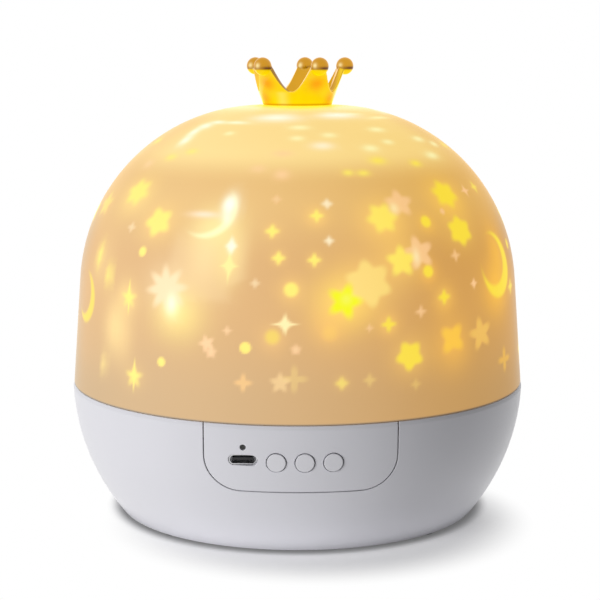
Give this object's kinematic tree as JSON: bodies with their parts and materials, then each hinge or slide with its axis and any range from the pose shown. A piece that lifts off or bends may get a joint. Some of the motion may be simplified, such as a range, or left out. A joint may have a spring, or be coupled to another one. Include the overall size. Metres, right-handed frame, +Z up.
{
  "type": "star night light projector",
  "caption": "Round night light with a white base, a translucent lift-off dome with a crown, push buttons and a turning star film drum.",
  "frame": {"origin": "centre of the feet's circle, on the surface that they stand on", "axes": "+Z up, the control panel and its port face -Y, +X to the right seen from the front"},
  "size_m": [0.16, 0.16, 0.1594],
  "materials": {
    "white_shell": "moulded white plastic, satin",
    "white_button": "moulded white plastic, satin",
    "inner_white": "moulded white plastic, plain",
    "dome_plastic": "translucent milky plastic, glossy",
    "amber_crown": "clear amber plastic, glossy",
    "clear_drum": "clear plastic",
    "clear_lens": "clear plastic",
    "printed_film": "thin printed film with clear windows",
    "foot_rubber": "soft rubber",
    "nylon": "nylon",
    "screw_steel": "plated steel",
    "spring_steel": "spring steel",
    "motor_steel": "drawn steel can",
    "port_steel": "stamped steel",
    "board_aluminium": "white masked aluminium board",
    "led_phosphor": "yellow phosphor",
    "board_green": "green circuit board",
    "chip_black": "black moulding",
    "socket_white": "white nylon",
    "cell_wrap": "shrink wrap over steel",
    "strap_black": "black strap",
    "lead_insulation": "insulated copper"
  },
  "bodies": {
    "base": {"base_bowl": "white_shell", "bottom_cover": "white_shell", "control_panel": "white_shell", "rubber_feet": "foot_rubber", "bottom_screws": "screw_steel", "deck": "inner_white", "deck_screws": "screw_steel", "lamp_post": "inner_white", "post_screws": "screw_steel", "thrust_washer": "nylon", "retaining_ring": "spring_steel", "led_board": "board_aluminium", "led_chips": "led_phosphor", "led_lens": "clear_lens", "gear_motor": "motor_steel", "motor_bracket": "spring_steel", "bracket_screws": "screw_steel", "main_board": "board_green", "board_screws": "screw_steel", "board_chips": "chip_black", "wire_sockets": "socket_white", "usb_shell": "port_steel", "usb_tongue": "chip_black", "switch_housings": "chip_black", "indicator_led": "led_phosphor", "light_pipe": "clear_lens", "battery_cell": "cell_wrap", "battery_cradle": "inner_white", "battery_strap": "strap_black", "battery_tabs": "spring_steel", "led_leads": "lead_insulation", "motor_leads": "lead_insulation", "battery_leads": "lead_insulation"},
    "carrier": {"turntable": "inner_white", "film_drum": "clear_drum", "side_film": "printed_film", "top_film": "printed_film"},
    "drive": {"motor_shaft": "spring_steel", "drive_pinion": "nylon"},
    "dome": {"dome_shade": "dome_plastic", "crown": "amber_crown", "crown_washer": "spring_steel", "crown_screw": "screw_steel"},
    "left_key": {"left_button": "white_button", "left_plunger": "chip_black"},
    "middle_key": {"middle_button": "white_button", "middle_plunger": "chip_black"},
    "right_key": {"right_button": "white_button", "right_plunger": "chip_black"}
  },
  "joints": [
    {"name": "dome_lift", "type": "slide", "parent": "base", "child": "dome", "axis": [0, 0, 1], "range_m": [0, 0.09]},
    {"name": "carrier_spin", "type": "hinge", "parent": "base", "child": "carrier", "pos_m": [0, 0, 0.05], "axis": [0, 0, 1], "continuous": true},
    {"name": "pinion_spin", "type": "hinge", "parent": "base", "child": "drive", "pos_m": [0.045, 0, 0.045], "axis": [0, 0, 1], "continuous": true},
    {"name": "left_press", "type": "slide", "parent": "base", "child": "left_key", "axis": [0, 1, 0], "range_m": [0, 0.0006], "stiffness_N_per_m": 600},
    {"name": "middle_press", "type": "slide", "parent": "base", "child": "middle_key", "axis": [0, 1, 0], "range_m": [0, 0.0006], "stiffness_N_per_m": 600},
    {"name": "right_press", "type": "slide", "parent": "base", "child": "right_key", "axis": [0, 1, 0], "range_m": [0, 0.0006], "stiffness_N_per_m": 600}
  ],
  "couplings": [
    {"joint": "pinion_spin", "follows": "carrier_spin", "ratio": -5}
  ]
}
